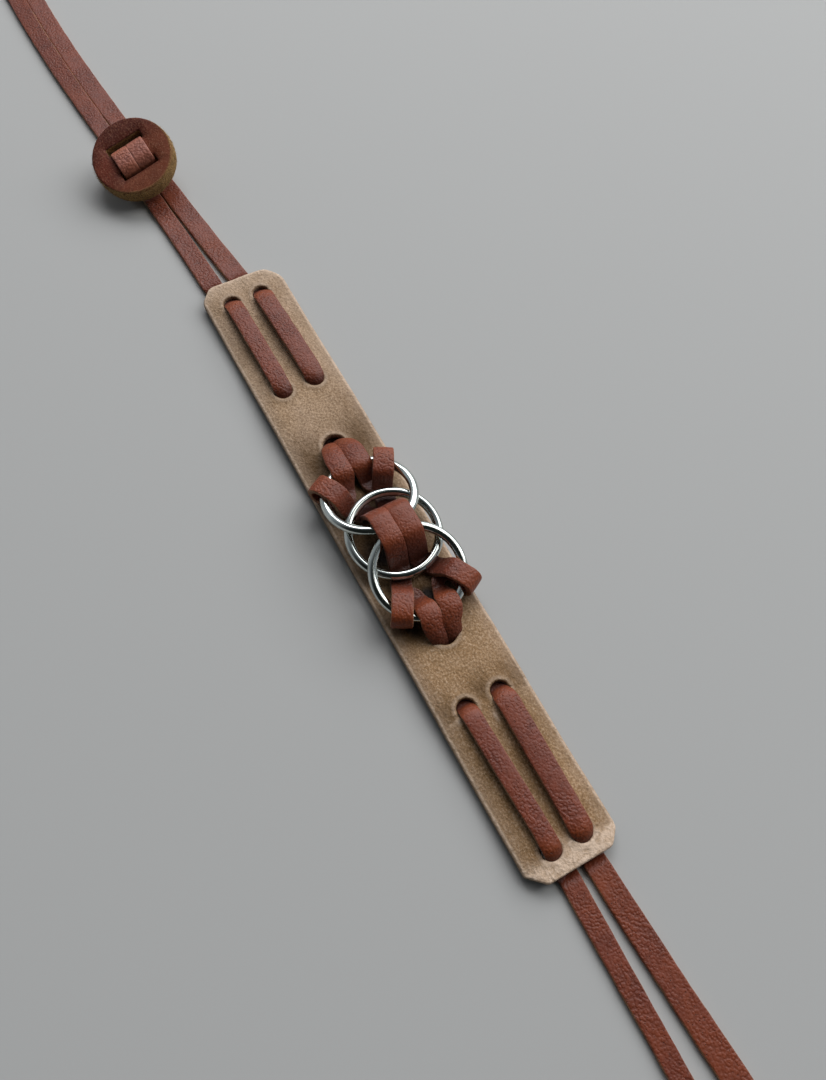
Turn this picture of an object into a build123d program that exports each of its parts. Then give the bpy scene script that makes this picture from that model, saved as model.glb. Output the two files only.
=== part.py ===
from build123d import *
import math
import os

# Laced leather headband: a flat leather band, three wire rings, a doubled lace woven through
# both, and a slotted leather button that slides on the lace's two tails.
# Millimetres. +X runs along the band towards the loop, +Y across it, +Z up.
# The origin is on the surface that the band rests on, under the middle of the band.

# ---- driving dimensions ----
band_length = 134.0
band_width = 18.0
band_thickness = 1.4
corner_snip = 2.7
corner_round = 1.2

lace_width = 4.0
lace_thickness = 1.0
lace_gap = 0.05

lace_hole_radius = 2.0
shared_hole_radius = 2.4

ring_radius = 8.4
wire_diameter = 1.75
rings_x = 1.3
rings_y = 0.7
upper_spacing = 8.5
lower_spacing = 9.2
ring_tilt = 13.5
centre_ring_tilt = 2.5

button_diameter = 17.8
button_thickness = 4.0
button_tilt = 10.5
button_roll = 15.0
button_rim_round = 0.4
button_x = -104.0
button_y = -6.9
button_clearance = 0.25
slot_length = 8.6
slot_width = 2.0
slot_offset = 3.3
bridge_reach = 3.0
bridge_bend = 1.2

knot_length = 12.0
knot_width = 8.4
knot_height = 5.5
knot_x = -196.5
knot_y = -5.6
knot_corner = 3.4
knot_top_round = 2.0

hank_start = -176.05
hank_bulb_x = -245.0
hank_bulb_y = -0.6
hank_bulb_radius = 14.8

# ---- heights that follow from the stack of lace, band, lace and wire ----
low = lace_thickness / 2
band_bottom = lace_thickness + lace_gap
band_top = band_bottom + band_thickness
face = band_top + lace_gap + lace_thickness / 2
wire_radius = wire_diameter / 2

# ---- holes in the band: place along it and the two places across it ----
tail_end_holes = (-61.3, -3.7, 2.9)
tail_face_holes = (-37.2, -3.5, 3.5)
tail_shared_hole = -21.4
loop_shared_hole = 21.9
loop_face_holes = (35.7, -3.45, 3.45)
loop_end_holes = (62.6, -2.95, 3.15)

half_band = band_length / 2

os.makedirs("parts", exist_ok=True)


def save(piece, name):
    """Label one finished piece and write its STEP file."""
    piece.label = name
    export_step(piece, f"parts/{name}.step")


# ---- band ----
with BuildPart() as band:
    with BuildSketch(Plane.XY.offset(band_bottom)):
        with BuildLine():
            outline = Polyline(
                (-half_band, -band_width / 2 + corner_snip),
                (-half_band + corner_snip, -band_width / 2),
                (half_band - corner_snip, -band_width / 2),
                (half_band, -band_width / 2 + corner_snip),
                (half_band, band_width / 2 - corner_snip),
                (half_band - corner_snip, band_width / 2),
                (-half_band + corner_snip, band_width / 2),
                (-half_band, band_width / 2 - corner_snip),
                close=True,
            )
        make_face()
        fillet(outline.vertices(), corner_round)
        for x, left, right in (tail_end_holes, tail_face_holes, loop_face_holes, loop_end_holes):
            with Locations((x, left), (x, right)):
                Circle(lace_hole_radius, mode=Mode.SUBTRACT)
        with Locations((tail_shared_hole, 0), (loop_shared_hole, 0)):
            Circle(shared_hole_radius, mode=Mode.SUBTRACT)
    extrude(amount=band_thickness)
save(band.part, "band")

# ---- rings: the outer two lie tilted over the centre one ----
# The loops go round an outer ring's wire at side_crossing beyond that ring's middle.
side_crossing = 5.2
side_crossing_height = 4.82
ring_to_lace_gap = 0.1
outer_ring_height = side_crossing_height + math.tan(math.radians(ring_tilt)) * side_crossing
centre_ring_low = face + lace_thickness / 2 + ring_to_lace_gap + wire_radius
centre_ring_height = centre_ring_low + ring_radius * math.sin(math.radians(centre_ring_tilt))

ring_places = {
    "ring_upper": (rings_x - upper_spacing, 0, outer_ring_height, -ring_tilt),
    "ring_centre": (rings_x, rings_y, centre_ring_height, centre_ring_tilt),
    "ring_lower": (rings_x + lower_spacing, rings_y, outer_ring_height, ring_tilt),
}
for ring_name, (x, y, height, tilt) in ring_places.items():
    with BuildPart() as ring:
        ring_plane = Plane((x, y, height)).rotated((0, tilt, 0))
        with BuildSketch(Plane(ring_plane.origin, x_dir=ring_plane.x_dir, z_dir=-ring_plane.y_dir)):
            with Locations((ring_radius, 0)):
                Circle(wire_radius)
        revolve(axis=Axis(ring_plane.origin, ring_plane.z_dir), revolution_arc=360)
    save(ring.part, ring_name)


# ---- routes of the free stretches, from the band's ends, lying on the surface ----
tail_left_route = [(-67, -5.0), (-88, -6.2), (-130, -10.4), (-153, -12.0), (-176, -12.4)]
tail_right_route = [(-67, 0.9), (-88, -1.95), (-130, -6.25), (-153, -7.95), (-176, -8.35)]
loop_route = [
    (67, -2.25), (84, -2.6), (106, -2.9), (132, -4.0), (156, -7.0), (173, -10.4),
    (187, -12.2), (197.3, -12.2), (204.8, -4.7), (204.8, 5.9), (197.3, 13.4),
    (187, 13.4), (173, 11.5), (156, 9.0), (132, 6.4), (106, 4.7), (84, 3.5), (67, 2.9),
]

# ---- woven lace ----
# A row is (u, v, z, turn, width): u is the distance from the rings' middle towards one end of
# the band, v the distance from the band's middle line, turn the angle in degrees of the lace's
# cross direction, and width the lace's width there. A lace is squeezed narrower in a hole.


def through_hole(u, v, width, start, end):
    """Rows of an S-bend through a hole at u, between two heights."""
    step, rise = 0.75, 0.3
    towards = 1 if end > start else -1
    return [
        (u - step, v, start + towards * rise, 180, width),
        (u, v, (start + end) / 2, 180, width),
        (u + step, v, end - towards * rise, 180, width),
    ]


def outward_rows(strap_v, ring_u, loop_place, shared_u, face_u, face_v, end_u, end_v, exit_u, exit_v):
    """Rows from the middle of the strap out to the lace's exit at one end of the band."""
    strap_top = 9.45
    rows = [
        (0.0, strap_v, strap_top, 0, lace_width),
        (1.0, strap_v, strap_top, 0, lace_width),
        (2.6, strap_v, strap_top - 0.05, 0, lace_width),
        (3.6, strap_v, strap_top - 0.75, 0, lace_width),
        (4.6, strap_v, 6.8, 0, lace_width),
        (5.5, strap_v, 4.5, 0, lace_width),
        (6.1, strap_v, face + 0.3, 0, lace_width),
    ]
    landing_u = rows[-1][0]

    # Under the centre ring, out under the outer ring's side, then up and back over it.
    loop_turn = 28.4
    loop_top = 6.95
    loop_width = 3.9
    wrap_u, wrap_v, turn_u, turn_v, arc_v = loop_place
    wrap_radius = (loop_top - face) / 2
    rise_u, rise_v = wrap_u - 4.55, wrap_v - 2.55
    for part, turn in ((0.25, 12), (0.62, 24)):
        u = landing_u + (rise_u - landing_u) * part
        v = strap_v + (rise_v - strap_v) * part
        rows.append((u, v, face, turn, lace_width))
    rows += [
        (rise_u, rise_v, face + 1.0, loop_turn, lace_width),
        (wrap_u - 3.15, wrap_v - 1.75, loop_top - 0.4, loop_turn, lace_width),
        (wrap_u - 1.65, wrap_v - 0.95, loop_top, loop_turn, lace_width),
    ]
    along_u, along_v = math.cos(math.radians(loop_turn)), math.sin(math.radians(loop_turn))
    for angle in (90, 50, 10, -30, -65, -90):
        reach = wrap_radius * math.cos(math.radians(angle))
        height = loop_top - wrap_radius + wrap_radius * math.sin(math.radians(angle))
        rows.append((wrap_u + reach * along_u, wrap_v + reach * along_v, height, loop_turn, loop_width))

    # Flat turn on the band, back towards the outer ring's far arc.
    turn_radius, turn_width = 1.9, 2.5
    for heading in (180 + loop_turn, 238, 268, 298, 330, 360):
        u = turn_u + turn_radius * math.sin(math.radians(heading))
        v = turn_v - turn_radius * math.cos(math.radians(heading))
        rows.append((u, v, face, heading - 180, turn_width))

    # Over the far arc and down to the shared hole.
    arc_top = 5.75
    rows += [
        (ring_u + 4.9, (turn_v - turn_radius + arc_v) / 2, 3.9, 180, 3.0),
        (ring_u + 5.7, arc_v, 5.1, 180, 3.6),
        (ring_u + 6.6, arc_v, arc_top, 180, 3.8),
        (ring_u + 8.2, arc_v, arc_top, 180, 3.9),
        (ring_u + 9.2, (arc_v + 2.0) / 2, arc_top - 0.4, 180, 3.6),
        (shared_u - 1.75, 1.45, (arc_top + face) / 2 - 0.6, 180, 2.7),
    ]

    # Down the shared hole, up the face hole, along the band's face and down the end hole.
    squeezed, edge_width, shared_width = 2.3, 2.9, 1.9
    shared_v = shared_width / 2 + 0.07
    hole_margin = 1.7
    arch = 0.5
    rows += through_hole(shared_u, shared_v, shared_width, face, low)
    rows += [
        (shared_u + hole_margin, shared_v, low, 180, shared_width),
        (shared_u + 4.6, 2.0, low, 180, 3.4),
        ((shared_u + face_u) / 2 + 2, 2.9, low, 180, lace_width),
        (face_u - 3.2, face_v, low, 180, lace_width),
        (face_u - hole_margin, face_v, low, 180, edge_width),
    ]
    rows += through_hole(face_u, face_v, squeezed, low, face)
    rows += [
        (face_u + hole_margin, face_v, face, 180, edge_width),
        (face_u + 3.6, face_v, face + arch / 2, 180, lace_width),
        ((face_u + end_u) / 2, (face_v + end_v) / 2, face + arch, 180, lace_width),
        (end_u - 3.6, end_v, face + arch / 2, 180, lace_width),
        (end_u - hole_margin, end_v, face, 180, edge_width),
    ]
    rows += through_hole(end_u, end_v, squeezed, face, low)
    rows += [
        (end_u + hole_margin, end_v, low, 180, edge_width),
        (exit_u, exit_v, low, 180, lace_width),
    ]
    return rows


def placed(rows, end, side):
    """Rows as centre points, cross directions and widths in the part's frame."""
    found = []
    for u, v, z, turn, width in rows:
        angle = math.radians(turn)
        across = Vector(-end * math.sin(angle), side * math.cos(angle), 0)
        found.append((Vector(rings_x + end * u, side * v, z), across, width))
    return found


def woven_lace(stations, first_travel, last_travel):
    """One solid through rectangular sections, one at each station."""
    up = Vector(0, 0, 1)
    ends = {0: first_travel, len(stations) - 1: last_travel}
    with BuildPart() as lace:
        for i, (centre, across, width) in enumerate(stations):
            if i in ends:
                travel = ends[i].normalized()
                level = up.cross(travel)
                across = level if level.dot(across) > 0 else -level
            else:
                arriving = (centre - stations[i - 1][0]).normalized()
                leaving = (stations[i + 1][0] - centre).normalized()
                travel = arriving + leaving
                travel = (travel - across * travel.dot(across)).normalized()
            with BuildSketch(Plane(centre, x_dir=across, z_dir=travel)):
                Rectangle(width, lace_thickness)
        loft(ruled=True)
    return lace.part


# Where each loop goes round its ring's wire, the middle of its flat turn, and how far from the
# middle line it then crosses the far arc: u, v, u, v, v.
tail_loop_places = ((13.6, 7.0, 12.0, 4.3, 2.15), (14.5, 6.2, 12.5, 3.4, 2.05))
far_loop_places = ((14.85, 5.7, 13.0, 3.0, 1.45), (14.3, 7.85, 12.9, 5.1, 2.75))

tail_exits = (tail_left_route[0][1], tail_right_route[0][1])
loop_exits = (loop_route[0][1], loop_route[-1][1])
for side, pick, lace_name in ((-1, 0, "lace_left"), (1, 1, "lace_right")):
    strap_v = lace_width / 2 + lace_gap + side * rings_y
    tail_half = outward_rows(
        strap_v,
        upper_spacing,
        tail_loop_places[pick],
        rings_x - tail_shared_hole,
        rings_x - tail_face_holes[0],
        side * tail_face_holes[1 + pick],
        rings_x - tail_end_holes[0],
        side * tail_end_holes[1 + pick],
        rings_x + half_band,
        side * tail_exits[pick],
    )
    loop_half = outward_rows(
        strap_v,
        lower_spacing,
        far_loop_places[pick],
        loop_shared_hole - rings_x,
        loop_face_holes[0] - rings_x,
        side * loop_face_holes[1 + pick],
        loop_end_holes[0] - rings_x,
        side * loop_end_holes[1 + pick],
        half_band - rings_x,
        side * loop_exits[pick],
    )
    stations = placed(tail_half, -1, side)[::-1] + placed(loop_half, 1, side)[1:]
    tail_route = (tail_left_route, tail_right_route)[pick]
    loop_leg = (loop_route, loop_route[::-1])[pick]
    into_band = Vector(*tail_route[0]) - Vector(*tail_route[1])
    out_of_band = Vector(*loop_leg[1]) - Vector(*loop_leg[0])
    woven = woven_lace(stations, into_band, out_of_band)
    path = sum((b[0] - a[0]).length for a, b in zip(stations, stations[1:]))
    print(lace_name, "path", round(path, 1), "volume", round(woven.volume, 1))
    save(woven, lace_name)


# ---- free stretches of the lace ----


def strip(route, name):
    """A flat lace along straight runs joined by tangent arcs, lying on the surface."""
    radii = []
    for before, here, after in zip(route, route[1:], route[2:]):
        arriving, leaving = Vector(*here) - Vector(*before), Vector(*after) - Vector(*here)
        half_turn = math.radians(arriving.get_angle(leaving)) / 2
        radii.append(0.45 * min(arriving.length, leaving.length) / math.tan(half_turn))
    with BuildPart() as lace:
        with BuildSketch():
            with BuildLine() as line:
                FilletPolyline(*route, radius=radii)
            trace(line_width=lace_width)
        extrude(amount=lace_thickness)
    length = sum(edge.length for edge in line.edges())
    print(name, "length", round(length, 1), "radii", [round(r) for r in radii])
    section = lace_width * lace_thickness
    print(name, "volume", round(lace.part.volume, 1), "section x length", round(length * section, 1))
    save(lace.part, name)


strip(tail_left_route, "tail_left")
strip(tail_right_route, "tail_right")
strip(loop_route, "loop_lace")

# ---- put-away hank of the two tails: one solid of its outer shape ----
with BuildPart() as tail_hank:
    with BuildSketch():
        with BuildLine():
            Polyline(
                (hank_start, -14.4),
                (hank_bulb_x, -15.4),
                (-233.3, 8.5),
                (-215, -5.3),
                (-203, -5.3),
                (-203, -10.3),
                (-190, -10.3),
                (hank_start, -6.3),
                close=True,
            )
        make_face()
        with Locations((hank_bulb_x, hank_bulb_y)):
            Circle(hank_bulb_radius)
    extrude(amount=2 * lace_thickness + 2 * lace_gap)
save(tail_hank.part, "tail_hank")

# ---- knot that joins the tails' ends ----
with BuildPart() as end_knot:
    with BuildSketch():
        with Locations((knot_x, knot_y)):
            Rectangle(knot_length, knot_width)
    extrude(amount=knot_height)
    fillet(end_knot.edges().filter_by(Axis.Z), knot_corner)
    fillet(end_knot.faces().sort_by(Axis.Z)[-1].edges(), knot_top_round)
save(end_knot.part, "end_knot")

# ---- slider button, tilted on the lace, with the two stretches of lace over its bridge ----
tail_slope = math.degrees(math.atan2(0.1, 1))
button_lean = math.acos(math.cos(math.radians(button_tilt)) * math.cos(math.radians(button_roll)))
button_base = lace_thickness + button_clearance + button_diameter / 2 * math.sin(button_lean)
button_plane = Plane((button_x, button_y, button_base)).rotated((0, 0, tail_slope))
button_plane = button_plane.rotated((0, button_tilt, 0)).rotated((button_roll, 0, 0))

with BuildPart() as slider_button:
    with BuildSketch(button_plane):
        Circle(button_diameter / 2)
        with Locations((-slot_offset, 0), (slot_offset, 0)):
            Rectangle(slot_width, slot_length, mode=Mode.SUBTRACT)
    extrude(amount=button_thickness)
    fillet(slider_button.edges().filter_by(GeomType.CIRCLE), button_rim_round)
save(slider_button.part, "slider_button")

lace_inside = bridge_reach - lace_thickness / 2
lace_outside = bridge_reach + lace_thickness / 2
over_bridge = button_thickness + lace_gap
for side, bridge_name in ((-1, "bridge_lace_left"), (1, "bridge_lace_right")):
    middle = side * (lace_width / 2 + lace_gap)
    cross_plane = Plane(
        button_plane.from_local_coords(Vector(0, middle, 0)),
        x_dir=button_plane.x_dir,
        z_dir=-button_plane.y_dir,
    )
    with BuildPart() as bridge_lace:
        with BuildSketch(cross_plane):
            with BuildLine():
                arch = Polyline(
                    (-lace_outside, 0),
                    (-lace_outside, over_bridge + lace_thickness),
                    (lace_outside, over_bridge + lace_thickness),
                    (lace_outside, 0),
                    (lace_inside, 0),
                    (lace_inside, over_bridge),
                    (-lace_inside, over_bridge),
                    (-lace_inside, 0),
                    close=True,
                )
            make_face()
            fillet(arch.vertices().group_by(Axis.Y)[-1], bridge_bend)
        extrude(amount=lace_width / 2, both=True)
    save(bridge_lace.part, bridge_name)
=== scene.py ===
import math
import random

import bpy
import numpy as np
from mathutils import Matrix, Vector, geometry, noise


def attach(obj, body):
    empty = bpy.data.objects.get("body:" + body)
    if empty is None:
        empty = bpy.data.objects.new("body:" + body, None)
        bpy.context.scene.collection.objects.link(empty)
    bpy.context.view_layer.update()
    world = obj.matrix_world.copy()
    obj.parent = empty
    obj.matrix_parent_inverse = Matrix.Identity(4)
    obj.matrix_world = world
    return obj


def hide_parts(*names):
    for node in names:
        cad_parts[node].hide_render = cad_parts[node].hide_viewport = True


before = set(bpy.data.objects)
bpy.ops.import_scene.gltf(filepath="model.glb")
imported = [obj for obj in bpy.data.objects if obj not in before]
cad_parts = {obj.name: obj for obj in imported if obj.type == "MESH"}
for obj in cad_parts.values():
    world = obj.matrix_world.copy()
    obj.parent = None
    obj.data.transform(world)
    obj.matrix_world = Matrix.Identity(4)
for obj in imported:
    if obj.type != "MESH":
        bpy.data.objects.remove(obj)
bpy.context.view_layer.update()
MM = 0.001
scene = bpy.context.scene
scene.view_settings.view_transform = "Standard"

# ---------- camera
SENSOR_HEIGHT = 36.0
LENS_TO_HEIGHT = 920.0 / 1080.0
CAMERA_PLACE = (60.625, -39.892, 158.940)
camera_data = bpy.data.cameras.new("camera")
camera_data.sensor_fit = "VERTICAL"
camera_data.sensor_height = SENSOR_HEIGHT
camera_data.lens = SENSOR_HEIGHT * LENS_TO_HEIGHT
camera_data.clip_start = 0.01
camera_data.clip_end = 20.0
camera = bpy.data.objects.new("camera", camera_data)
scene.collection.objects.link(camera)
right = Vector((0.482027, 0.873555, 0.067468))
down = Vector((0.810577, -0.415393, -0.412811))
forward = Vector((-0.332587, 0.253674, -0.908315))
turn = Matrix((right, -down, -forward)).transposed().to_4x4()
camera.matrix_world = Matrix.Translation(Vector(CAMERA_PLACE) * MM) @ turn
scene.camera = camera

# ---------- cords' routes, millimetres
LACE_THICKNESS = 1.0
# Heights of a lace's middle: on the surface, and on top of another lace.
LOW = 0.5
SECOND = 1.58
TAIL_LEFT = [(-67, -5.0, LOW), (-88, -6.2, LOW), (-130, -10.4, LOW), (-153, -12.0, LOW), (-176, -12.4, LOW)]
TAIL_RIGHT = [
    (-67, 0.9, LOW), (-88, -1.95, LOW), (-130, -6.25, LOW), (-153, -7.95, LOW), (-176, -8.35, LOW),
]
LOOP = [
    (67, -2.25, LOW), (84, -2.6, LOW), (106, -2.9, LOW), (132, -4.0, LOW), (156, -7.0, LOW), (173, -10.4, LOW),
    (187, -12.2, LOW), (197.3, -12.2, LOW), (204.8, -4.7, LOW), (204.8, 5.9, LOW), (197.3, 13.4, LOW),
    (187, 13.4, LOW), (173, 11.5, LOW), (156, 9.0, LOW), (132, 6.4, LOW), (106, 4.7, LOW), (84, 3.5, LOW),
    (67, 2.9, LOW),
]
HANK = [
    (-206, -12.6), (-232, -12.9), (-250.3, -13.2), (-257.4, -5.9), (-257.4, 4.7), (-250.3, 12.0),
    (-239.7, 12.0), (-232.2, 4.7), (-222, -3.2), (-213, -6.6), (-203, -7.4), (-196, -7.2),
]


def nurbs_line(name, points):
    """The smooth line of an order 3 NURBS spline with these control points, in metres."""
    curve = bpy.data.curves.new(name, "CURVE")
    curve.dimensions = "3D"
    curve.resolution_u = 14
    spline = curve.splines.new("NURBS")
    spline.points.add(len(points) - 1)
    for target, point in zip(spline.points, points):
        target.co = (*(c * MM for c in point), 1.0)
    spline.use_endpoint_u = True
    spline.order_u = 3
    holder = bpy.data.objects.new(name, curve)
    mesh = bpy.data.meshes.new_from_object(holder)
    line = [v.co.copy() for v in mesh.vertices]
    bpy.data.objects.remove(holder)
    bpy.data.curves.remove(curve)
    bpy.data.meshes.remove(mesh)
    return line


# ---------- materials
class Shader:
    """A material's node tree, with short ways to add and join nodes."""

    def __init__(self, name):
        self.material = bpy.data.materials.new(name)
        self.material.use_nodes = True
        self.tree = self.material.node_tree
        self.tree.nodes.clear()
        self.out = self.add("ShaderNodeOutputMaterial")
        self.shader = self.add("ShaderNodeBsdfPrincipled")
        self.join(self.shader.outputs["BSDF"], self.out.inputs["Surface"])
        self.place = self.add("ShaderNodeTexCoord").outputs["Object"]

    def add(self, kind, **values):
        node = self.tree.nodes.new(kind)
        for key, value in values.items():
            setattr(node, key, value)
        return node

    def join(self, a, b):
        self.tree.links.new(a, b)

    def feed(self, socket, value):
        if isinstance(value, bpy.types.NodeSocket):
            self.join(value, socket)
        elif isinstance(value, (tuple, list)) and len(value) == 3 and socket.type == "RGBA":
            socket.default_value = (*value, 1.0)
        else:
            socket.default_value = value

    def noise(self, scale, detail=3.0, rough=0.55, distortion=0.0):
        node = self.add("ShaderNodeTexNoise")
        self.join(self.place, node.inputs["Vector"])
        node.inputs["Scale"].default_value = scale
        node.inputs["Detail"].default_value = detail
        node.inputs["Roughness"].default_value = rough
        node.inputs["Distortion"].default_value = distortion
        return node.outputs["Fac"]

    def cells(self, scale, feature="F1"):
        node = self.add("ShaderNodeTexVoronoi", feature=feature)
        self.join(self.place, node.inputs["Vector"])
        node.inputs["Scale"].default_value = scale
        return node.outputs["Distance"]

    def ramp(self, value, low, high, to_low=0.0, to_high=1.0):
        node = self.add("ShaderNodeMapRange")
        self.feed(node.inputs["Value"], value)
        for key, number in (("From Min", low), ("From Max", high), ("To Min", to_low), ("To Max", to_high)):
            node.inputs[key].default_value = number
        return node.outputs["Result"]

    def maths(self, operation, a, b):
        node = self.add("ShaderNodeMath", operation=operation)
        self.feed(node.inputs[0], a)
        self.feed(node.inputs[1], b)
        return node.outputs[0]

    def times(self, a, b):
        return self.maths("MULTIPLY", a, b)

    def plus(self, a, b):
        return self.maths("ADD", a, b)

    def mix(self, factor, a, b):
        node = self.add("ShaderNodeMix", data_type="RGBA")
        self.feed(node.inputs[0], factor)
        self.feed(node.inputs[6], a)
        self.feed(node.inputs[7], b)
        return node.outputs[2]

    def marks(self):
        """Red, green and blue of the mesh's own colour attribute."""
        node = self.add("ShaderNodeAttribute", attribute_name="marks")
        split = self.add("ShaderNodeSeparateColor")
        self.join(node.outputs["Color"], split.inputs[0])
        return split.outputs[0], split.outputs[1], split.outputs[2]

    def bump(self, height, strength, distance):
        node = self.add("ShaderNodeBump")
        node.inputs["Strength"].default_value = strength
        node.inputs["Distance"].default_value = distance
        self.feed(node.inputs["Height"], height)
        return node.outputs["Normal"]

    def finish(self, colour, roughness, normal, **numbers):
        self.feed(self.shader.inputs["Base Color"], colour)
        self.feed(self.shader.inputs["Roughness"], roughness)
        if normal is not None:
            self.join(normal, self.shader.inputs["Normal"])
        for key, value in numbers.items():
            self.feed(self.shader.inputs[key.replace("_", " ")], value)
        return self.material


def lace_material(name, face, bend, dark, cut):
    """Smooth red-brown leather: pebbled pores, fine grain, paler where it bends, raw cut edges."""
    s = Shader(name)
    side, bent, shade = s.marks()
    broad = s.noise(120, 2.0)
    cloud = s.noise(420, 4.0, 0.6)
    grain = s.noise(3000, 4.0, 0.65)
    pebble = s.cells(2300, "SMOOTH_F1")
    pits = s.cells(1750)
    pebbled = s.ramp(s.noise(150, 2.0), 0.38, 0.62, 0.35, 1.0)
    colour = s.mix(s.ramp(cloud, 0.35, 0.7), face, dark)
    colour = s.mix(s.ramp(broad, 0.4, 0.7, 0.0, 0.35), colour, bend)
    colour = s.mix(s.times(bent, 0.9), colour, bend)
    valley = s.times(s.ramp(pebble, 0.3, 0.6), pebbled)
    pit = s.times(s.ramp(pits, 0.08, 0.2, 1.0, 0.0), s.ramp(s.noise(500, 1.0), 0.42, 0.52))
    colour = s.mix(s.times(valley, 0.4), colour, (0.085, 0.02, 0.012))
    colour = s.mix(s.times(pit, 0.75), colour, (0.03, 0.008, 0.006))
    colour = s.mix(s.times(s.ramp(grain, 0.5, 0.72), 0.2), colour, (0.42, 0.16, 0.10))
    fibre = s.noise(3200, 4.0, 0.7)
    raw = s.mix(s.ramp(fibre, 0.35, 0.65), cut, tuple(0.4 * c for c in cut))
    kept = s.ramp(s.noise(260, 2.0), 0.38, 0.6, 0.25, 1.0)
    colour = s.mix(s.times(side, kept), colour, raw)
    colour = s.mix(shade, colour, (0.02, 0.006, 0.004))
    roughness = s.ramp(grain, 0.3, 0.7, 0.38, 0.52)
    roughness = s.plus(roughness, s.times(side, 0.4))
    height = s.maths("SUBTRACT", s.times(grain, 0.3), s.times(valley, 0.5))
    height = s.maths("SUBTRACT", height, s.times(pit, 0.6))
    height = s.plus(height, s.times(cloud, 0.35))
    normal = s.bump(height, 0.6, 0.00027)
    return s.finish(
        colour, roughness, normal,
        Specular_IOR_Level=0.36, Sheen_Weight=0.04, Sheen_Roughness=0.4, Sheen_Tint=(0.95, 0.78, 0.86),
    )


def band_material():
    """Taupe grained leather, browner towards one end, with stains and painted shade, rubbed lips with a
    painted highlight on the upturned ends, and raw edges.
    """
    s = Shader("band_leather")
    side, stain_and_shade, rub_and_highlight = s.marks()
    split = s.add("ShaderNodeSeparateXYZ")
    s.join(s.place, split.inputs[0])
    golden = s.ramp(split.outputs[0], -0.025, 0.03)
    broad = s.noise(70, 3.0, 0.55)
    cloud = s.noise(300, 4.0, 0.6)
    grain = s.noise(2500, 4.0, 0.62)
    pebble = s.cells(1700, "SMOOTH_F1")
    crease = s.noise(800, 3.0, 0.6, distortion=1.2)
    colour = s.mix(golden, (0.475, 0.325, 0.215), (0.38, 0.222, 0.105))
    colour = s.mix(s.ramp(broad, 0.42, 0.7, 0.0, 0.65), colour, (0.30, 0.175, 0.075))
    colour = s.mix(s.ramp(cloud, 0.42, 0.75, 0.0, 0.45), colour, (0.54, 0.36, 0.22))
    colour = s.mix(s.ramp(grain, 0.36, 0.52, 0.5, 0.0), colour, (0.14, 0.075, 0.03))
    colour = s.mix(s.ramp(grain, 0.52, 0.68, 0.0, 0.5), colour, (0.72, 0.53, 0.38))
    # Brown where stained or in painted shade; above 0.6 near-black painted shadow under the rings and laces.
    patchy = s.times(s.ramp(stain_and_shade, 0.0, 0.6), s.ramp(crease, 0.3, 0.65, 0.7, 1.0))
    colour = s.mix(patchy, colour, (0.095, 0.045, 0.011))
    colour = s.mix(s.ramp(stain_and_shade, 0.6, 0.95, 0.0, 0.97), colour, (0.008, 0.004, 0.003))
    # Pale where rubbed, and painted highlight on the band's upturned ends.
    rubbed_and_lit = s.times(rub_and_highlight, s.ramp(crease, 0.35, 0.6, 0.45, 0.95))
    colour = s.mix(rubbed_and_lit, colour, (0.74, 0.56, 0.42))
    raw = s.mix(s.ramp(s.noise(2800, 4.0, 0.7), 0.35, 0.65), (0.36, 0.27, 0.2), (0.13, 0.085, 0.06))
    colour = s.mix(side, colour, raw)
    roughness = s.ramp(grain, 0.3, 0.7, 0.46, 0.64)
    height = s.plus(s.times(grain, 0.6), s.times(pebble, -0.4))
    height = s.plus(height, s.times(crease, 0.6))
    normal = s.bump(height, 0.65, 0.00042)
    return s.finish(colour, roughness, normal, Specular_IOR_Level=0.16)


def button_material():
    """Dark red-brown leather face, with painted light along its lit rim and painted shade at its slots, over a
    raw, fibrous, yellow-tan wall.
    """
    s = Shader("button_leather")
    side, worn_and_lit, dark = s.marks()
    cloud = s.noise(260, 4.0, 0.6)
    grain = s.noise(2600, 5.0, 0.65)
    fine = s.ramp(s.cells(2400), 0.0, 0.3, 1.0, 0.0)
    face = s.mix(s.ramp(cloud, 0.35, 0.7), (0.16, 0.029, 0.013), (0.09, 0.017, 0.008))
    # Paler where worn and painted light on the lit rim; darker on one side, with painted shade at the slots.
    face = s.mix(s.times(worn_and_lit, 0.42), face, (0.25, 0.08, 0.032))
    face = s.mix(s.times(dark, 0.8), face, (0.07, 0.012, 0.006))
    face = s.mix(s.times(fine, 0.45), face, (0.035, 0.009, 0.006))
    face = s.mix(s.times(s.ramp(grain, 0.5, 0.66), 0.4), face, (0.42, 0.19, 0.11))
    fibre = s.noise(2200, 5.0, 0.75, distortion=1.5)
    raw = s.mix(s.ramp(fibre, 0.35, 0.62), (0.74, 0.46, 0.18), (0.12, 0.055, 0.02))
    colour = s.mix(side, face, raw)
    roughness = s.plus(s.ramp(grain, 0.3, 0.7, 0.5, 0.62), s.times(side, 0.35))
    height = s.plus(s.times(grain, 0.5), s.times(fine, -0.5))
    height = s.plus(height, s.times(s.times(fibre, side), 2.2))
    normal = s.bump(height, 0.8, 0.0004)
    return s.finish(colour, roughness, normal, Specular_IOR_Level=0.16)


def nickel_material():
    """Bright polished nickel with hairline rub marks and a little haze."""
    s = Shader("polished_nickel")
    haze = s.noise(260, 3.0)
    rub = s.noise(5200, 2.0, 0.6)
    colour = s.mix(s.ramp(haze, 0.35, 0.7), (0.66, 0.69, 0.65), (0.44, 0.47, 0.44))
    roughness = s.ramp(haze, 0.3, 0.7, 0.07, 0.16)
    normal = s.bump(rub, 0.12, 0.00003)
    return s.finish(colour, roughness, normal, Metallic=1.0)


def fuzz_material():
    """Loose leather fibres of the button's raw wall."""
    s = Shader("raw_fibre")
    tint = s.noise(900, 2.0)
    colour = s.mix(s.ramp(tint, 0.35, 0.65), (0.72, 0.50, 0.24), (0.30, 0.16, 0.06))
    return s.finish(colour, s.ramp(tint, 0.3, 0.7, 0.7, 0.9), None)


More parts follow.
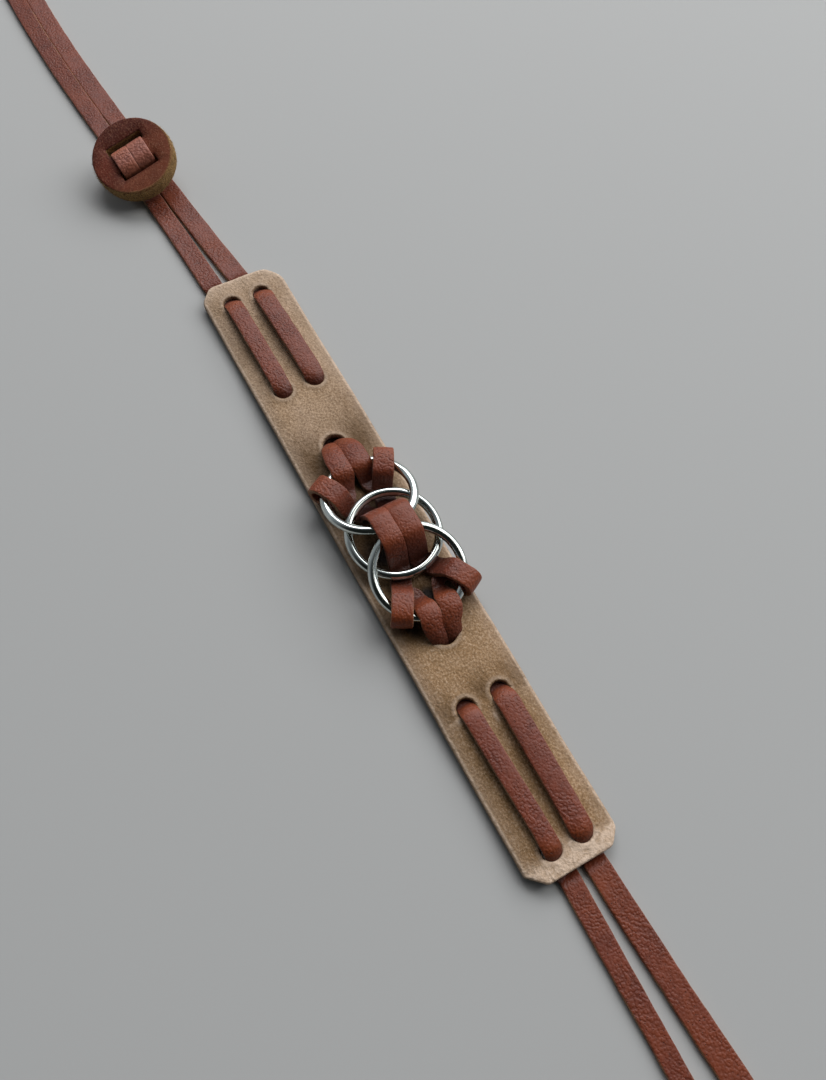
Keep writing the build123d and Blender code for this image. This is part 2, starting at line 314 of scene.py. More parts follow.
# ---------- mesh helpers
def make_piece(name, points, faces, marks, material, body, replaced=()):
    """A smooth-shaded mesh piece, in metres, with a colour mark on each vertex."""
    mesh = bpy.data.meshes.new(name)
    mesh.from_pydata([tuple(p) for p in points], [], faces)
    mesh.validate()
    attribute = mesh.color_attributes.new("marks", "FLOAT_COLOR", "POINT")
    for target, mark in zip(attribute.data, marks):
        target.color = (*mark, 1.0)
    mesh.polygons.foreach_set("use_smooth", [True] * len(mesh.polygons))
    mesh.materials.append(material)
    piece = bpy.data.objects.new(name, mesh)
    scene.collection.objects.link(piece)
    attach(piece, body)
    if replaced:
        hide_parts(*replaced)
    return piece


EDGE_WANDER = 0.05


def lace_profile(width, thickness):
    """Points round a lace's section as (across, up, edge mark), counter-clockwise seen along the lace."""
    w, t, r = width / 2, thickness / 2, min(0.22, thickness * 0.45)
    steps = 10
    corner = ((math.radians(30), 0.25), (math.radians(60), 0.9))
    half = [(w - r - (width - 2 * r) * i / steps, t, 0.0) for i in range(steps + 1)]
    half += [(-w + r - r * math.sin(a), t - r + r * math.cos(a), mark) for a, mark in corner]
    half += [(-w, (t - r) * (1 - 2 * i / 3), 1.0) for i in range(4)]
    half += [(-w + r - r * math.sin(a), -t + r - r * math.cos(a), mark) for a, mark in corner[::-1]]
    return half + [(-x, -y, mark) for x, y, mark in half]


def ribbon_mesh(stations, seed):
    """Points, faces and marks of a flat lace through stations.

    A station is a dict: c is its middle, across its width's direction, and width, thick and curl its section.
    bend, shade and raw mark the leather for its material.
    """
    points, faces, marks = [], [], []
    count = len(stations)
    for i, here in enumerate(stations):
        before, after = stations[max(i - 1, 0)]["c"], stations[min(i + 1, count - 1)]["c"]
        travel = (after - before).normalized()
        across = (here["across"] - travel * here["across"].dot(travel)).normalized()
        up = travel.cross(across)
        curl = here.get("curl", 0.0)
        for s, t, edge in lace_profile(here["width"], here.get("thick", LACE_THICKNESS)):
            wander = noise.noise(Vector((here["c"].x * 0.5, here["c"].y * 0.5, seed + math.copysign(3, s))))
            s *= 1 + EDGE_WANDER * wander * abs(s) / here["width"] * 2
            if abs(curl) > 1e-4:
                x = math.sin(s * curl) * (1 / curl + t)
                z = math.cos(s * curl) * (1 / curl + t) - 1 / curl
            else:
                x, z = s, t
            place = here["c"] + across * x + up * z
            place.z = max(place.z, 0.0)
            points.append(place * MM)
            marks.append((edge * here.get("raw", 1.0), here.get("bend", 0.0), here.get("shade", 0.0)))
    ring = len(lace_profile(4, 1))
    for i in range(count - 1):
        for j in range(ring):
            k = (j + 1) % ring
            faces.append((i * ring + j, i * ring + k, (i + 1) * ring + k, (i + 1) * ring + j))
    faces.append(tuple(range(ring))[::-1])
    last = (count - 1) * ring
    faces.append(tuple(range(last, last + ring)))
    return points, faces, marks


def smooth_stations(rows, steps=5):
    """Catmull-Rom stations through given ones."""
    found = []
    for i in range(len(rows) - 1):
        a, b, c, d = rows[max(i - 1, 0)], rows[i], rows[i + 1], rows[min(i + 2, len(rows) - 1)]
        for j in range(steps):
            t = j / steps

            def blend(key):
                return 0.5 * (
                    b[key] * 2
                    + (c[key] - a[key]) * t
                    + (a[key] * 2 - b[key] * 5 + c[key] * 4 - d[key]) * t * t
                    + (b[key] * 3 - a[key] - c[key] * 3 + d[key]) * t * t * t
                )

            station = {key: blend(key) for key in ("c", "across")}
            station["thick"] = b.get("thick", LACE_THICKNESS)
            for key in ("width", "curl", "bend", "shade", "raw"):
                station[key] = b.get(key, 1.0) * (1 - t) + c.get(key, 1.0) * t
            found.append(station)
    found.append(dict(rows[-1]))
    return found


def joined_loops(loops):
    """Vertices and edges of closed outlines."""
    verts, edges = [], []
    for loop in loops:
        first = len(verts)
        verts += loop
        edges += [(first + i, first + (i + 1) % len(loop)) for i in range(len(loop))]
    return verts, edges


def triangles_inside(verts, edges, keep):
    """Delaunay points, and the triangles whose middle is kept."""
    flat, _, triangles, _, _, _ = geometry.delaunay_2d_cdt(verts, edges, [], 1, 1e-5)
    kept = []
    for face in triangles:
        if keep(sum((flat[i] for i in face), Vector((0, 0))) / len(face)):
            kept.append(tuple(face))
    return flat, kept


def thick_sheet(kept, tops, unders, marks, under_mark, levels, wall_point):
    """Points, faces and marks of a sheet: its top, its underside, and walls round every open edge."""
    number = len(tops)
    points = tops + unders
    marks = marks + [under_mark] * number
    faces = kept + [tuple(i + number for i in face[::-1]) for face in kept]
    used = dict.fromkeys((a, b) for face in kept for a, b in zip(face, face[1:] + face[:1]))
    walls = {}

    def chain(i):
        found = [i]
        for level in range(1, levels):
            if (i, level) not in walls:
                walls[(i, level)] = len(points)
                points.append(wall_point(i, level / levels))
                marks.append((1.0, 0.0, 0.0))
            found.append(walls[(i, level)])
        return found + [i + number]

    for a, b in used:
        if (b, a) not in used:
            chain_a, chain_b = chain(a), chain(b)
            for k in range(levels):
                faces.append((chain_b[k], chain_a[k], chain_a[k + 1], chain_b[k + 1]))
    return points, faces, marks


def soft(value):
    """A smooth step from 0 to 1."""
    value = min(max(value, 0.0), 1.0)
    return value * value * (3 - 2 * value)


def hill(x, centre, spread):
    return math.exp(-((x - centre) / spread) ** 2)


def along(x, keys):
    """The value at x of straight runs between (x, value) keys in rising x."""
    return float(np.interp(x, [k[0] for k in keys], [k[1] for k in keys]))


def flat_stations(line, widths, leans=((0, 0), (1, 0))):
    """Stations of a lace lying on its flat side along a line in metres. Widths and leans are keyed by x."""
    found = []
    for i, point in enumerate(line):
        before, after = line[max(i - 1, 0)], line[min(i + 1, len(line) - 1)]
        travel = (after - before).normalized()
        place = point / MM
        width = along(place.x, widths) + 0.12 * noise.noise(Vector((place.x / 9.0, place.y / 9.0, 3.0)))
        lean = along(place.x, leans)
        across = Vector((0, 0, 1)).cross(travel).normalized()
        across = (across + Vector((0, 0, lean * (1 if across.y > 0 else -1)))).normalized()
        centre = place + Vector((0, 0, abs(lean) * width / 2))
        bend = 0.35 * max(noise.noise(place / 14.0), 0)
        found.append({"c": centre, "across": across, "width": width, "bend": bend})
    return found


# ---------- cords
lace_leather = lace_material(
    "lace_leather", (0.19, 0.039, 0.017), (0.28, 0.056, 0.011), (0.125, 0.024, 0.010), (0.44, 0.24, 0.13),
)


def line_length(line):
    return sum((b - a).length for a, b in zip(line, line[1:]))


def declare_cord(line):
    line_length(line)
    [tuple(p) for p in line]


def tail(name, route, nodes, widths, leans, seed):
    """One tail: from the band's end along the surface, once round the hank, to the knot."""
    line = nurbs_line(name, route)
    points, faces, marks = ribbon_mesh(flat_stations(line, widths, leans), seed=seed)
    piece = make_piece(name, points, faces, marks, lace_leather, "headband", nodes)
    declare_cord(line)


lower_hank = [(x, y, LOW) for x, y in HANK]
upper_hank = [(-190, -10.6, 1.2), (-199, -12.0, SECOND)] + [(x, y, SECOND) for x, y in HANK]
tail(
    "left_tail", TAIL_LEFT + lower_hank, ["tail_left", "tail_hank"],
    widths=((-120, 3.95), (-90, 3.95), (-70, 4.3)),
    leans=((-180, 0.0), (-165, 0.16), (-135, 0.12), (-118, 0.0)), seed=9.0,
)
tail(
    "right_tail", TAIL_RIGHT + upper_hank, ["tail_right"],
    widths=((-190, 4.0), (-150, 4.15), (-90, 4.25), (-72, 4.5)),
    leans=((-130, 0.0), (-100, 0.03), (-80, 0.0)), seed=10.0,
)

# The loop's two legs look a little unlike in width, keyed by x.
FIRST_LEG = ((67, -0.25), (104, -0.45), (150, 0.0))
SECOND_LEG = ((67, 0.2), (104, 0.55), (150, 0.0))
loop_line = nurbs_line("loop", LOOP)
loop_stations = flat_stations(loop_line, ((67, 4.0), (130, 4.0)))
for i, station in enumerate(loop_stations):
    station["width"] += along(station["c"].x, FIRST_LEG if i < len(loop_stations) / 2 else SECOND_LEG)
points, faces, marks = ribbon_mesh(loop_stations, seed=7.0)
closing_loop = make_piece(
    "closing_loop", points, faces, marks, lace_leather, "headband", ["loop_lace"],
)
declare_cord(loop_line)

# ---------- woven laces
LACE_GAP = 0.05
BAND_BOTTOM = 1.05
BAND_TOP = 2.45
FACE = BAND_TOP + LACE_GAP + LACE_THICKNESS / 2
RINGS_X, RINGS_Y = 1.3, 0.7
UPPER_SPACING, LOWER_SPACING = 8.5, 9.2
# Where each loop goes round its ring's wire, the middle of its flat turn, and how far from the
# middle line it then crosses the far arc: u, v, u, v, v.
TAIL_LOOP_PLACES = ((13.55, 6.95, 12.0, 4.3, 2.2), (14.5, 6.2, 12.5, 3.4, 1.9))
FAR_LOOP_PLACES = ((14.85, 5.7, 13.0, 3.0, 1.45), (14.25, 7.8, 12.9, 5.1, 2.85))
TAIL_END_HOLES = (-61.3, -3.7, 2.9)
TAIL_FACE_HOLES = (-37.2, -3.5, 3.5)
TAIL_SHARED_HOLE = -21.4
LOOP_SHARED_HOLE = 21.9
LOOP_FACE_HOLES = (35.7, -3.45, 3.45)
LOOP_END_HOLES = (62.6, -2.95, 3.15)
HALF_BAND = 67.0
# The strap's two laces lie this far from the rings' middle, and its top is this high.
STRAP_OFFSET = 2.03
STRAP_TOP = 9.4
LOOP_TURN, LOOP_TOP = 28.4, 6.85
FLAT_TURN_RADIUS = 1.9
SHARED_V = 2.1


def outward_rows(end, strap_v, ring_u, loop_place, shared_u, face_hole, end_hole, exit_place, run_width):
    """Rows from the strap out to one end of the band: (u, v, z, turn, width, curl, bend, shade).

    u runs outwards from the middle ring and v away from the middle line. turn is the way the lace heads.
    """
    face_u, face_v = face_hole
    end_u, end_v = end_hole
    rows = [
        (0.0, strap_v, STRAP_TOP, 0, 4.15, 0.12, 0.35, 0),
        (1.0, strap_v, STRAP_TOP, 0, 4.15, 0.12, 0.3, 0),
        (2.5, strap_v, STRAP_TOP - 0.2, 0, 4.15, 0.11, 0.4, 0),
        (3.5, strap_v, STRAP_TOP - 0.95, 0, 4.1, 0.08, 0.3, 0),
        (4.5, strap_v, STRAP_TOP - 2.5, 0, 4.1, 0.06, 0, 0.15),
        (5.3, strap_v, STRAP_TOP - 4.5, 0, 4.0, 0.03, 0, 0.5),
        (6.0, strap_v, STRAP_TOP - 5.9, 0, 4.0, 0.0, 0, 0.75),
    ]
    # Under the middle ring, then up to the loop round the side wire.
    wrap_u, wrap_v, turn_u, turn_v, arc_v = loop_place
    wrap_radius = (LOOP_TOP - FACE) / 2
    under_u = 6.1
    rise_u, rise_v = wrap_u - 4.55, wrap_v - 2.55
    for part, turn in ((0.25, 12), (0.62, 24)):
        u = under_u + (rise_u - under_u) * part
        rows.append((u, strap_v + (rise_v - strap_v) * part, FACE, turn, 4.0, 0, 0, 0.7))
    rows += [
        (rise_u, rise_v, 3.95, LOOP_TURN, 4.0, 0, 0, 0.45),
        (wrap_u - 3.15, wrap_v - 1.75, LOOP_TOP - 0.55, LOOP_TURN, 4.0, 0.04, 0.1, 0),
        (wrap_u - 1.65, wrap_v - 0.95, LOOP_TOP - 0.02, LOOP_TURN, 4.0, 0.05, 0.2, 0),
    ]
    heading_u, heading_v = math.cos(math.radians(LOOP_TURN)), math.sin(math.radians(LOOP_TURN))
    for angle in (90, 50, 10, -30, -65, -90):
        reach = wrap_radius * math.cos(math.radians(angle))
        height = LOOP_TOP - wrap_radius + wrap_radius * math.sin(math.radians(angle))
        bent = 0.6 if angle > 0 else 0.2
        u, v = wrap_u + reach * heading_u, wrap_v + reach * heading_v
        rows.append((u, v, height, LOOP_TURN, 3.9, 0.04, bent, 0))
    for heading in (180 + LOOP_TURN, 238, 268, 298, 330, 360):
        u = turn_u + FLAT_TURN_RADIUS * math.sin(math.radians(heading))
        v = turn_v - FLAT_TURN_RADIUS * math.cos(math.radians(heading))
        rows.append((u, v, FACE, heading - 180, 2.5, 0, 0, 0.5))
    # Over the outer ring's far arc.
    rows += [
        (ring_u + 4.9, (turn_v - FLAT_TURN_RADIUS + arc_v) / 2, 3.9, 180, 3.2, 0.08, 0.1, 0.2),
        (ring_u + 5.8, arc_v, 5.1, 180, 3.9, 0.12, 0.5, 0.1),
        (ring_u + 6.7, arc_v, 5.75, 180, 4.1, 0.16, 0.5, 0.05),
        (ring_u + 8.3, arc_v * 0.98, 5.75, 180, 4.1, 0.18, 0.2, 0.05),
    ]
    # Down the shared hole, which the two laces fill:
    # (distance before the dive, share of v, z, width, curl, bend, shade).
    if end > 0:
        dive = shared_u + 1.35
        into = (
            (3.3, 0.94, 5.3, 3.9, 0.2, 0.3, 0.05),
            (2.1, 0.82, 4.5, 3.7, 0.26, 0.3, 0.15),
            (0.9, 0.70, 3.5, 3.5, 0.34, 0.2, 0.3),
            (0.1, 0.62, 2.55, 3.1, 0.42, 0.1, 0.5),
            (-0.4, 0.5, 1.5, 2.5, 0.45, 0, 0.8),
        )
    else:
        dive = shared_u + 0.6
        into = (
            (4.8, 0.95, 5.5, 4.0, 0.18, 0.1, 0),
            (3.2, 0.88, 4.95, 3.8, 0.2, 0.2, 0),
            (1.8, 0.76, 4.1, 3.4, 0.26, 0.5, 0.05),
            (0.7, 0.62, 3.1, 2.9, 0.36, 0.5, 0.15),
            (0.0, 0.52, 2.1, 2.6, 0.45, 0.2, 0.5),
            (-0.4, 0.5, 1.2, 2.4, 0.4, 0, 0.8),
        )
    for before, share, z, width, curl, bend, shade in into:
        v = SHARED_V * share if share < 0.9 else (arc_v + SHARED_V * share) / 2
        rows.append((dive - before, v, z, 180, width, curl, bend, shade))
    rows += [
        (dive + 1.3, 1.15, LOW, 180, 2.5, 0, 0, 0.9),
        (shared_u + 4.6, 2.0, LOW, 180, 3.4, 0, 0, 0.5),
        ((shared_u + face_u) / 2 + 2, 2.9, LOW, 180, 4.0, 0, 0, 0.3),
    ]
    # Up through the face hole, over the face, and down through the end hole. The lace leaves a dark gap in
    # the end of each hole that lies nearer the tails.
    if end > 0:
        rows += [
            (face_u - 3.8, face_v, LOW, 180, 4.0, 0, 0, 0.5),
            (face_u - 2.3, face_v, 0.8, 180, 3.0, 0, 0, 0.8),
            (face_u - 0.55, face_v, 1.7, 180, 3.1, 0.2, 0.3, 0.8),
            (face_u + 0.2, face_v, 2.6, 180, 3.3, 0.3, 0.7, 0.3),
            (face_u + 1.1, face_v, FACE + 0.15, 180, run_width, 0.22, 0.6, 0),
            (face_u + 2.2, face_v, FACE + 0.4, 180, run_width, 0.12, 0.2, 0),
        ]
    else:
        rows += [
            (face_u - 3.8, face_v, LOW, 180, 4.0, 0, 0, 0.5),
            (face_u - 2.3, face_v, 0.8, 180, 3.0, 0.2, 0, 0.8),
            (face_u - 1.55, face_v, 1.7, 180, 2.8, 0.45, 0, 0.8),
            (face_u - 0.95, face_v, 2.5, 180, 3.1, 0.42, 0.2, 0.6),
            (face_u + 0.1, face_v, FACE + 0.15, 180, run_width, 0.3, 0.4, 0.32),
            (face_u + 1.6, face_v, FACE + 0.4, 180, run_width, 0.16, 0.2, 0.05),
        ]
    rows += [
        (face_u + 3.8, face_v, FACE + 0.5, 180, run_width, 0.08, 0.1, 0),
        ((face_u + end_u) / 2, (face_v + end_v) / 2, FACE + 0.6, 180, run_width, 0.06, 0, 0),
        (end_u - 3.8, end_v, FACE + 0.5, 180, run_width, 0.08, 0.1, 0),
    ]
    if end > 0:
        rows += [
            (end_u - 1.5, end_v, FACE + 0.45, 180, run_width, 0.16, 0.4, 0),
            (end_u - 0.1, end_v, FACE + 0.2, 180, run_width - 0.05, 0.3, 0.8, 0.16),
            (end_u + 0.95, end_v, 2.5, 180, 3.1, 0.42, 0.6, 0.42),
            (end_u + 1.5, end_v, 1.7, 180, 2.8, 0.45, 0.3, 0.7),
            (end_u + 2.3, end_v, 0.8, 180, 3.0, 0.2, 0, 0.8),
        ]
    else:
        rows += [
            (end_u - 2.4, end_v, FACE + 0.4, 180, run_width, 0.12, 0.4, 0),
            (end_u - 1.1, end_v, FACE + 0.15, 180, run_width, 0.2, 0.8, 0),
            (end_u - 0.2, end_v, 2.6, 180, 3.4, 0.3, 0.7, 0.2),
            (end_u + 0.55, end_v, 1.7, 180, 3.1, 0.2, 0.3, 0.6),
            (end_u + 2.0, end_v, 0.8, 180, 3.2, 0, 0, 0.8),
        ]
    rows += [
        (end_u + 3.2, end_v, LOW, 180, 3.7, 0, 0, 0.9),
        (*exit_place, LOW, 180, 4.0, 0, 0, 0.1),
    ]
    return rows


def placed(rows, end, side):
    """Rows as stations in the part's frame. A positive curl bends the lace's edges down.

    The strap's two laces touch, so their cut edges are hardly marked as raw.
    """
    found = []
    for u, v, z, turn, width, curl, bend, shade in rows:
        angle = math.radians(turn)
        upright = side * (1 if turn < 90 else -1)
        found.append({
            "c": Vector((RINGS_X + end * u, side * v, z)),
            "across": Vector((-end * math.sin(angle), side * math.cos(angle), 0)),
            "width": width, "curl": curl * upright, "bend": bend, "shade": shade,
            "raw": 0.1 if u < 6.5 else 1.0,
        })
    return found


for side, pick, name, node in ((-1, 0, "woven_left", "lace_left"), (1, 1, "woven_right", "lace_right")):
    strap_v = STRAP_OFFSET + side * RINGS_Y
    tail_half = outward_rows(
        -1, strap_v, UPPER_SPACING, TAIL_LOOP_PLACES[pick], RINGS_X - TAIL_SHARED_HOLE,
        face_hole=(RINGS_X - TAIL_FACE_HOLES[0], side * TAIL_FACE_HOLES[1 + pick]),
        end_hole=(RINGS_X - TAIL_END_HOLES[0], side * TAIL_END_HOLES[1 + pick]),
        exit_place=(RINGS_X + HALF_BAND, side * (TAIL_LEFT, TAIL_RIGHT)[pick][0][1]),
        run_width=(3.6, 3.95)[pick],
    )
    loop_half = outward_rows(
        1, strap_v, LOWER_SPACING, FAR_LOOP_PLACES[pick], LOOP_SHARED_HOLE - RINGS_X,
        face_hole=(LOOP_FACE_HOLES[0] - RINGS_X, side * LOOP_FACE_HOLES[1 + pick]),
        end_hole=(LOOP_END_HOLES[0] - RINGS_X, side * LOOP_END_HOLES[1 + pick]),
        exit_place=(HALF_BAND - RINGS_X, side * (LOOP[0], LOOP[-1])[pick][1]),
        run_width=(3.45, 4.1)[pick],
    )
    stations = placed(tail_half, -1, side)[::-1] + placed(loop_half, 1, side)[1:]
    points, faces, marks = ribbon_mesh(smooth_stations(stations, 6), seed=11.0 + side)
    make_piece(name, points, faces, marks, lace_leather, "headband", [node])

# ---------- band
HALF_WIDTH = 9.0
CORNER_SNIP = 2.7
HOLE_RADIUS, SHARED_HOLE_RADIUS = 1.75, 2.3
HOLES = [
    (x, y, HOLE_RADIUS)
    for x, *sides in (TAIL_END_HOLES, TAIL_FACE_HOLES, LOOP_FACE_HOLES, LOOP_END_HOLES) for y in sides
]
HOLES += [(x, 0.0, SHARED_HOLE_RADIUS) for x in (TAIL_SHARED_HOLE, LOOP_SHARED_HOLE)]
# (side in x, side in y, cut, rub): each corner is cut and rubbed its own way.
CORNERS = ((-1, -1, 2.6, 0.9), (1, -1, 2.9, 0.35), (1, 1, 2.5, 0.8), (-1, 1, 3.0, 1.5))
# (x, y, direction out, depth): creases where the lace pulls the leather, out to the nearer edge.
CREASES = (
    (-61.3, 2.9, 1, 0.17), (-61.3, -3.7, -1, 0.12), (35.7, 3.45, 1, 0.12),
    (35.7, -3.45, -1, 0.15), (62.6, 3.15, 1, 0.1), (62.6, -2.95, -1, 0.1),
)
# (x, y, reach along, reach across): spots rubbed pale.
SCUFFS = ((39.2, 0.6, 0.9, 0.35), (38.0, 1.5, 0.5, 0.3), (37.2, -5.9, 0.5, 0.3), (63.6, 0.6, 1.2, 0.7))
# (x, y, reach along, reach across, strength): brown stains, and painted shade round the rings and the shared
# holes. Up to 0.6 is brown, above that near-black painted shadow under the rings and laces.
STAINS_AND_SHADE = [
    (-20.5, 5.5, 6.0, 5.5, 0.58), (-19.5, -5.5, 6.5, 6.0, 0.6), (-23.5, 8.6, 9.0, 3.5, 0.5),
    (-15.5, 0.0, 5.0, 5.0, 0.6), (-23.0, -7.5, 4.5, 3.5, 0.42), (-12.6, 1.6, 3.6, 3.2, 1.1),
    (-13.0, -5.0, 3.5, 3.0, 0.75), (-6.0, -1.0, 5.0, 6.0, 0.85), (3.0, -2.5, 7.0, 6.0, 1.0),
    (5.5, 0.5, 5.0, 4.0, 1.0), (2.0, 0.0, 14.0, 12.0, 0.55), (14.6, 0.8, 3.4, 3.4, 1.1),
    (13.5, -7.8, 6.0, 2.4, 0.52), (19.0, -4.8, 3.0, 2.2, 0.9), (17.5, 8.0, 2.8, 2.0, 0.78),
    (17.0, 0.0, 3.8, 8.0, 0.5), (34.5, 7.8, 4.5, 3.4, 0.5), (34.0, 0.6, 3.0, 2.6, 0.5),
    (34.8, -7.4, 3.6, 2.6, 0.52), (41.0, 7.4, 7.0, 1.6, 0.3), (50.0, 0.0, 12.0, 1.2, 0.2),
    (-49.0, 0.0, 12.0, 1.0, 0.14), (-60.0, 7.0, 2.0, 2.5, 0.2), (60.0, 7.8, 2.6, 1.6, 0.4),
    (57.0, -7.4, 5.0, 1.8, 0.24), (-60.6, -7.2, 2.0, 1.6, 0.22), (-40.0, 8.2, 6.0, 1.6, 0.24),
]


def band_outline():
    """The band's outline as points about 0.4 mm apart, counter-clockwise."""
    x, y = HALF_BAND, HALF_WIDTH
    corners = []
    for sx, sy, snip, rub in CORNERS:
        long_side, end = (sx * (x - snip), sy * y, rub), (sx * x, sy * (y - snip), rub)
        corners += [end, long_side] if sx * sy > 0 else [long_side, end]
    found = []
    for i, (cx, cy, rub) in enumerate(corners):
        here = Vector((cx, cy))
        before, after = Vector(corners[i - 1][:2]), Vector(corners[(i + 1) % 8][:2])
        start = here + (before - here).normalized() * rub
        stop = here + (after - here).normalized() * rub
        for j in range(5):
            t = j / 4
            found.append(start * (1 - t) ** 2 + here * 2 * t * (1 - t) + stop * t * t)
        following = after + (here - after).normalized() * corners[(i + 1) % 8][2]
        pieces = max(1, int((following - stop).length / 0.4))
        for j in range(1, pieces):
            found.append(stop.lerp(following, j / pieces))
    return found


def band_form(x, y):
    """Lift of the band's leather above its flat place, millimetres."""
    lift = 0.0
    for centre in (-29.3, 28.8):
        lift += 0.35 * hill(x, centre, 6.5) * (1 - 0.35 * (y / 9) ** 2)
    for centre in (-49.2, 49.2):
        lift -= 0.42 * hill(x, centre, 9.0)
    lift -= 0.35 * hill(x, 0, 12)
    lift += 0.30 * soft((abs(x) - 63.0) / 4.0)
    lift -= 0.30 * soft((abs(y) - 5.5) / 3.5) ** 2
    for hx, hy, radius in HOLES:
        d = math.hypot(x - hx, y - hy)
        lift += 0.16 * math.exp(-((d - radius - 0.55) / 0.6) ** 2)
    for hx, hy, reach, size in CREASES:
        out = (y - hy) * reach
        if out > 0:
            fade = soft(out / 1.5) * hill(x, hx + 0.25 * out, 1.6)
            lift -= size * fade * (1 + math.cos(2 * math.pi * (x - hx - 0.25 * out) / 1.15))
    lift += 0.10 * noise.noise(Vector((x / 4.5, y / 3.0, 2.0)))
    lift += 0.05 * noise.noise(Vector((x / 1.8, y / 1.3, 5.0)))
    return lift


def band_points():
    """Closed outlines of the band, and loose points: rows near every edge and an even grid between."""
    outline = band_outline()
    count = len(outline)
    loops, loose = [outline], []
    inward = []
    for i in range(count):
        tangent = (outline[(i + 1) % count] - outline[i - 1]).normalized()
        inward.append(Vector((-tangent.y, tangent.x)))
    for depth in (0.08, 0.2, 0.4, 0.75):
        loose += [p + n * depth for p, n in zip(outline, inward)]
    number = 40
    for x, y, radius in HOLES:

        def circle(reach, start):
            angles = [2 * math.pi * (i + start) / number for i in range(number)]
            return [Vector((x + reach * math.cos(a), y + reach * math.sin(a))) for a in angles]

        first = circle(radius, 0)
        loops.append(first[:1] + first[:0:-1])
        for depth in (0.08, 0.2, 0.4, 0.7, 1.1):
            loose += circle(radius + depth, 0.5 * (depth > 0.3))
    step = 0.6
    across = step * math.sqrt(3) / 2
    edge_gap, hole_gap, corner_gap = 1.1, 1.45, 1.5
    for row in range(-12, 13):
        y = row * across * 0.98
        for column in range(-115, 116):
            x = (column + 0.5 * (row % 2)) * step
            corner = (abs(x) - HALF_BAND) + (abs(y) - HALF_WIDTH) + CORNER_SNIP
            if HALF_BAND - abs(x) < edge_gap or HALF_WIDTH - abs(y) < edge_gap or corner > -corner_gap:
                continue
            if any(math.hypot(x - hx, y - hy) < r + hole_gap for hx, hy, r in HOLES):
                continue
            loose.append(Vector((x, y)))
    return loops, loose


def band_mark(point, to_edge, to_hole):
    """The stain-and-painted-shade mark and the rubbed lip, with its painted highlight on the band's ends, at a
    point of the band's face.
    """
    # Darker round the holes, painted shade along the -y edge that turns from the light, a darker strip along
    # the +y edge, then the table's stains and painted shade.
    stain_and_shade = 0.34 * math.exp(-(to_hole / 1.2) ** 2)
    stain_and_shade = max(stain_and_shade, 0.3 * soft((-point.y - 6.6) / 2.2) * (1 - 0.5 * hill(point.x, -40, 16)))
    stain_and_shade = max(stain_and_shade, 0.22 * soft((point.y - 6.2) / 2.0))
    for x, y, rx, ry, strength in STAINS_AND_SHADE:
        stain_and_shade = max(stain_and_shade, strength * math.exp(-((point.x - x) / rx) ** 2 - ((point.y - y) / ry) ** 2))
    rub_and_highlight = 0.8 * math.exp(-((to_edge - 0.35) / 0.35) ** 2) + 0.5 * math.exp(-((to_hole - 0.5) / 0.3) ** 2)
    # Painted highlight where the band's upturned ends catch the light, stronger at the +x end.
    rub_and_highlight += (0.9 if point.x > 0 else 0.35) * soft((abs(point.x) - 62.4) / 2.6)
    for x, y, rx, ry in SCUFFS:
        rub_and_highlight += 1.2 * math.exp(-((point.x - x) / rx) ** 2 - ((point.y - y) / ry) ** 2)
    return 0.0, min(stain_and_shade, 1.0), min(rub_and_highlight, 1.0)


def build_band():
    loops, loose = band_points()
    verts, edges = joined_loops(loops)

    def in_leather(middle):
        return all(math.hypot(middle.x - hx, middle.y - hy) > r * 0.995 for hx, hy, r in HOLES)

    flat, kept = triangles_inside(verts + loose, edges, in_leather)
    boundary = np.array([(p.x, p.y) for p in loops[0]])
    far_from_edge = 2.5
    tops, unders, marks = [], [], []
    for point in flat:
        to_hole = max(min(math.hypot(point.x - hx, point.y - hy) - r for hx, hy, r in HOLES), 0.0)
        to_edge = float(np.min(np.hypot(boundary[:, 0] - point.x, boundary[:, 1] - point.y)))
        if min(HALF_BAND - abs(point.x), HALF_WIDTH - abs(point.y)) > far_from_edge:
            to_edge = far_from_edge
        d = min(to_hole * 2.0, to_edge)
        lift = band_form(point.x, point.y)

        def rounding(radius):
            return 0.0 if d >= radius else radius - math.sqrt(radius ** 2 - (radius - d) ** 2)

        tops.append(Vector((point.x, point.y, BAND_TOP + lift - rounding(0.4))) * MM)
        unders.append(Vector((point.x, point.y, BAND_BOTTOM + lift + rounding(0.3))) * MM)
        marks.append(band_mark(point, to_edge, to_hole))
    points, faces, marks = thick_sheet(
        kept, tops, unders, marks, (0.0, 0.5, 0.0), 4, lambda i, t: tops[i].lerp(unders[i], t),
    )
    make_piece("band_leather", points, faces, marks, band_material(), "headband", ["band"])


build_band()

# ---------- rings
RING_RADIUS, WIRE_RADIUS = 8.4, 0.875
RING_TILT, CENTRE_RING_TILT = 13.5, 2.5
